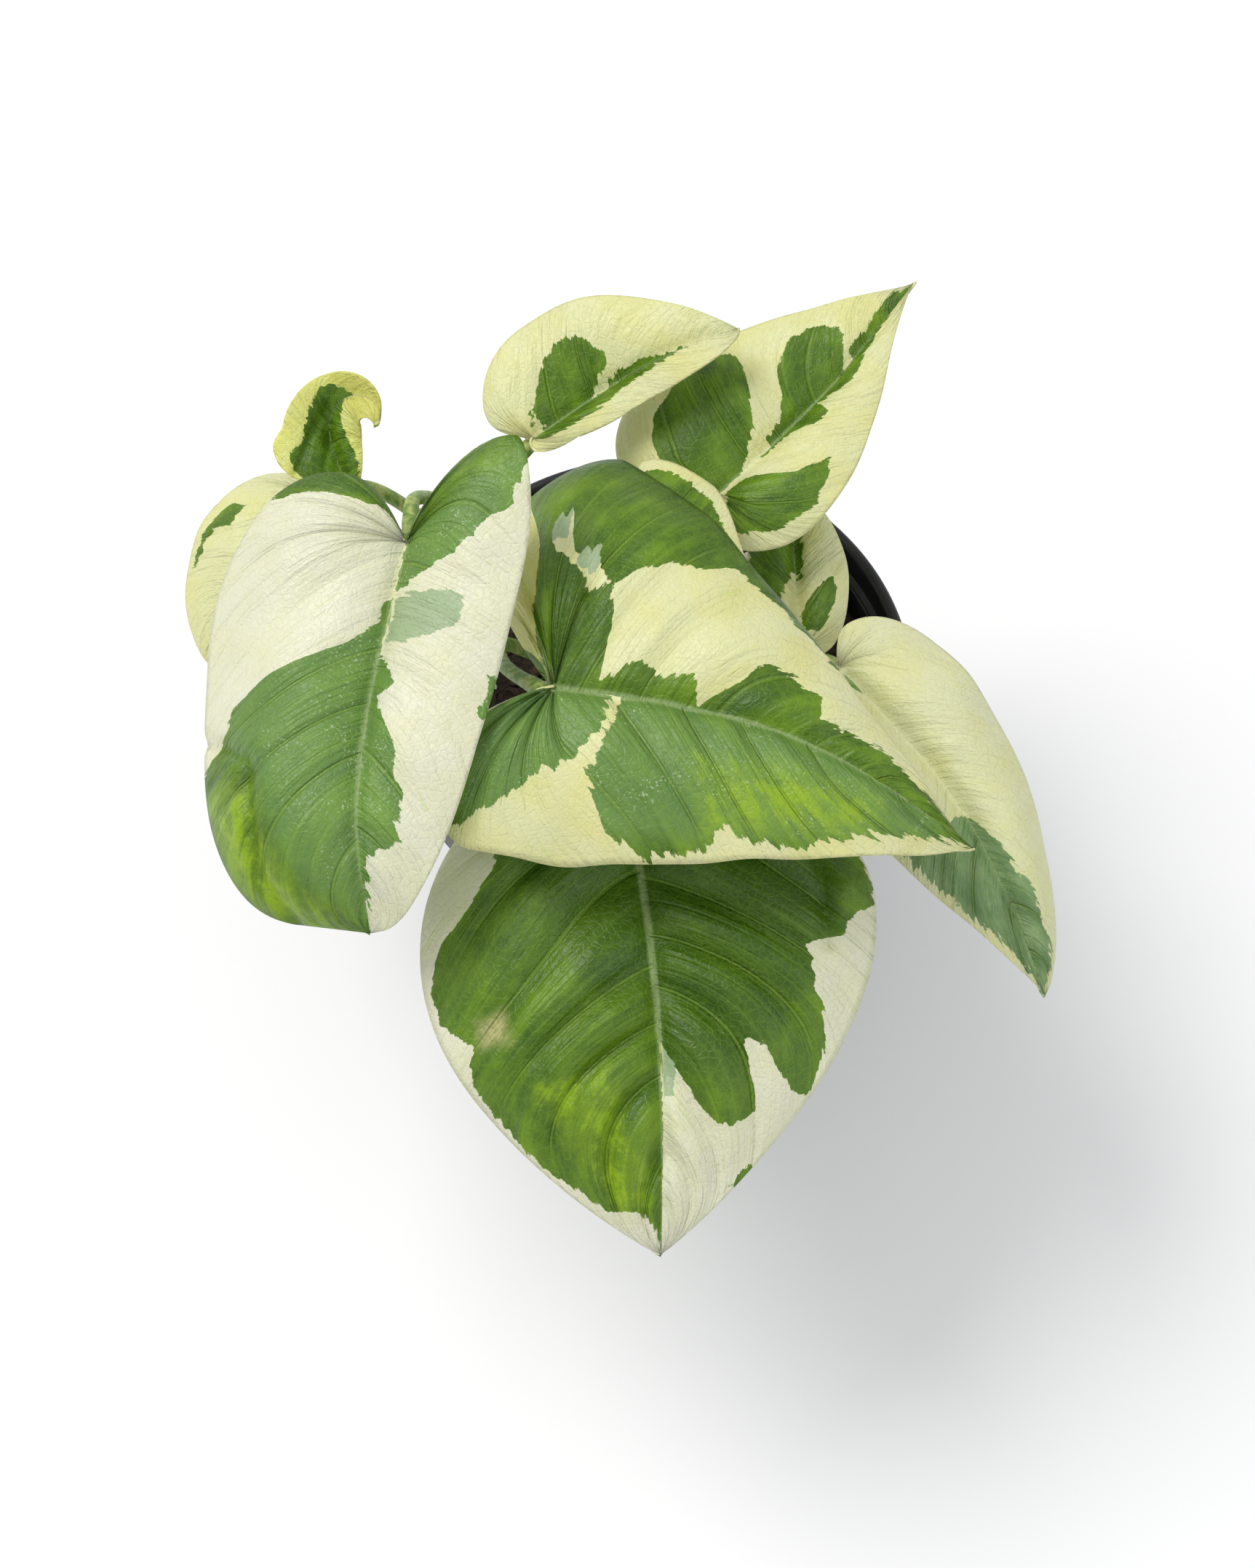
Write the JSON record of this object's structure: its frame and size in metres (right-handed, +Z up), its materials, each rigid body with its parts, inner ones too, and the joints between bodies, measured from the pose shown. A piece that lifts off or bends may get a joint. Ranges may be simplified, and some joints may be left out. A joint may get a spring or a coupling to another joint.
{
  "type": "potted pothos plant",
  "caption": "Small trailing houseplant with broad cream and green variegated leaves on slim stalks, growing from potting mix in a round black nursery pot.",
  "frame": {"origin": "centre of the pot's flat underside, on the surface it stands on", "axes": "+Z up through the pot, -Y towards the side the plant leans to and its longest leaf hangs over, +X to the right seen from -Y"},
  "size_m": [0.158, 0.1722, 0.1668],
  "materials": {
    "pot_plastic": "fine satin, thin-walled moulded black plastic",
    "potting_mix": "rough, damp peat and bark crumbs with white perlite",
    "stem_skin": "smooth green living stem with faint ridges",
    "petiole_skin": "smooth pale green stalk",
    "leaf_blade": "satin waxy leaf, cream ground with jagged green patches",
    "young_leaf": "satin young leaf, yellow cream with a green middle"
  },
  "bodies": {
    "root": {"pot": "pot_plastic", "soil": "potting_mix", "stem_left": "stem_skin", "stem_back": "stem_skin", "stem_front": "stem_skin", "leaf_front": "leaf_blade", "petiole_front": "petiole_skin", "leaf_centre": "leaf_blade", "petiole_centre": "petiole_skin", "leaf_left": "leaf_blade", "petiole_left": "petiole_skin", "leaf_left_under": "leaf_blade", "petiole_left_under": "petiole_skin", "leaf_young": "young_leaf", "petiole_young": "petiole_skin", "leaf_back": "leaf_blade", "petiole_back": "petiole_skin", "leaf_back_right": "leaf_blade", "petiole_back_right": "petiole_skin", "leaf_centre_under": "leaf_blade", "petiole_centre_under": "petiole_skin", "leaf_right_under": "leaf_blade", "petiole_right_under": "petiole_skin", "leaf_right": "leaf_blade", "petiole_right": "petiole_skin"}
  },
  "joints": []
}
